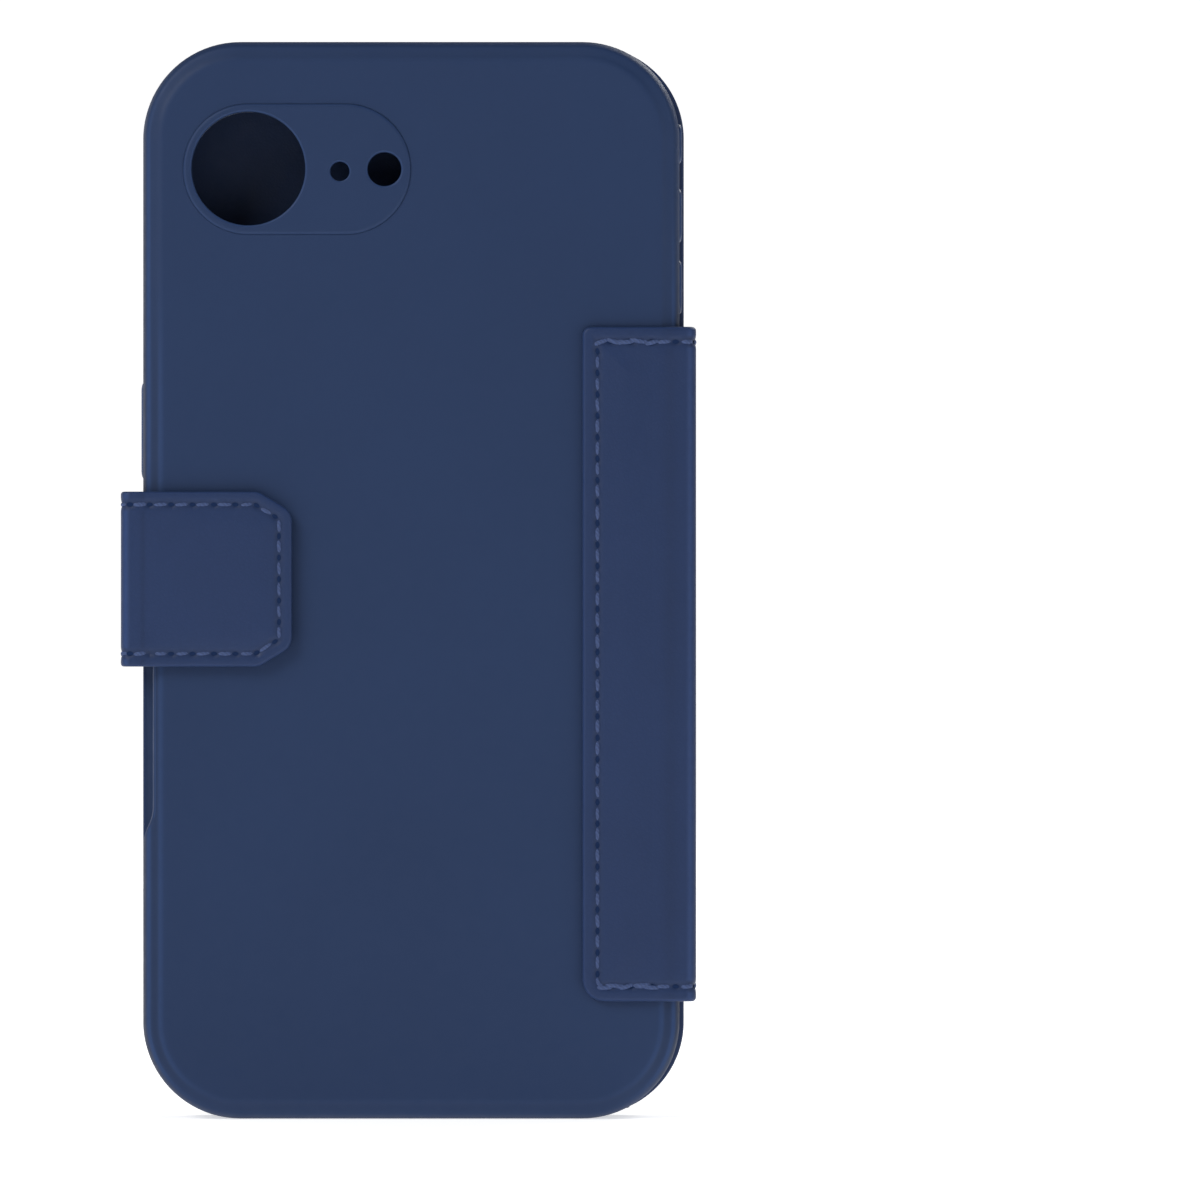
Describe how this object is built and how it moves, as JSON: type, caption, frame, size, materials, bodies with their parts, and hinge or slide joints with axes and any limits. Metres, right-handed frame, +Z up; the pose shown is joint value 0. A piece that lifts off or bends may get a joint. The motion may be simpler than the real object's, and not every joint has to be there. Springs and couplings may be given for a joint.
{
  "type": "phone wallet case",
  "caption": "Folio phone case: moulded shell with raised camera plate, stitched leather cover with card pockets, and a magnetic strap that closes round the edge.",
  "frame": {"origin": "middle of the bottom of the closed case's bounding box, on the surface that it stands on", "axes": "+Z up, along the case's height; +Y out of the front cover; the back of the shell faces -Y; +X towards the spine and -X towards the strap"},
  "size_m": [0.0798, 0.0164, 0.1498],
  "materials": {
    "moulded_shell": "smooth satin soft-touch moulding, navy",
    "button_cap": "smooth satin moulding, navy",
    "skin_leather": "smooth coated leather with a very fine grain, navy",
    "pocket_leather": "thin coated leather, navy",
    "microfibre": "short-napped microfibre, dark navy",
    "stiffener": "grey fibre board",
    "thread": "twisted polyester thread, a little lighter than the leather",
    "magnet_steel": "nickel-plated"
  },
  "bodies": {
    "shell_body": {"shell": "moulded_shell", "shell_lining": "microfibre", "camera_plate": "moulded_shell", "shell_magnet": "magnet_steel", "back_flap_leather": "skin_leather", "back_flap_backing": "stiffener", "back_flap_thread": "thread"},
    "power_key": {"power_button": "button_cap"},
    "volume_down_key": {"volume_down_button": "button_cap"},
    "volume_up_key": {"volume_up_button": "button_cap"},
    "action_key": {"action_button": "button_cap"},
    "spine": {"spine_leather": "skin_leather", "spine_lining": "microfibre"},
    "cover": {"cover_leather": "skin_leather", "cover_thread": "thread", "cover_board": "stiffener", "cover_lining": "microfibre", "cash_pocket": "pocket_leather", "card_pocket_back": "pocket_leather", "card_pocket_front": "pocket_leather", "strap_tongue": "skin_leather"},
    "strap_side": {"strap_side_leather": "skin_leather", "strap_side_lining": "microfibre"},
    "strap_tab": {"strap_tab_leather": "skin_leather", "strap_tab_lining": "microfibre", "strap_tab_thread": "thread", "strap_keeper_plate": "magnet_steel"}
  },
  "joints": [
    {"name": "spine_fold", "type": "hinge", "parent": "shell_body", "child": "spine", "pos_m": [0.03995, -0.0076, 0.075], "axis": [0, 0, -1], "range_deg": [0, 175], "deforming": ["strap_side_leather", "strap_side_lining", "strap_tab_leather", "strap_tab_lining", "strap_tab_thread", "strap_keeper_plate"]},
    {"name": "cover_fold", "type": "hinge", "parent": "spine", "child": "cover", "pos_m": [0.03995, 0.00815, 0.075], "axis": [0, 0, -1], "range_deg": [0, 175], "deforming": ["strap_side_leather", "strap_side_lining", "strap_tab_leather", "strap_tab_lining", "strap_tab_thread", "strap_keeper_plate"]},
    {"name": "strap_root_fold", "type": "hinge", "parent": "cover", "child": "strap_side", "pos_m": [-0.03995, 0.0073, 0.075], "axis": [0, 0, -1], "range_deg": [0, 170]},
    {"name": "strap_tab_fold", "type": "hinge", "parent": "strap_side", "child": "strap_tab", "pos_m": [-0.03995, -0.00815, 0.075], "axis": [0, 0, -1], "range_deg": [0, 90]},
    {"name": "power_press", "type": "slide", "parent": "shell_body", "child": "power_key", "axis": [1, 0, 0], "range_m": [0, 0.00035], "stiffness_N_per_m": 1500},
    {"name": "volume_down_press", "type": "slide", "parent": "shell_body", "child": "volume_down_key", "axis": [-1, 0, 0], "range_m": [0, 0.00035], "stiffness_N_per_m": 1500},
    {"name": "volume_up_press", "type": "slide", "parent": "shell_body", "child": "volume_up_key", "axis": [-1, 0, 0], "range_m": [0, 0.00035], "stiffness_N_per_m": 1500},
    {"name": "action_press", "type": "slide", "parent": "shell_body", "child": "action_key", "axis": [-1, 0, 0], "range_m": [0, 0.00035], "stiffness_N_per_m": 1500}
  ]
}
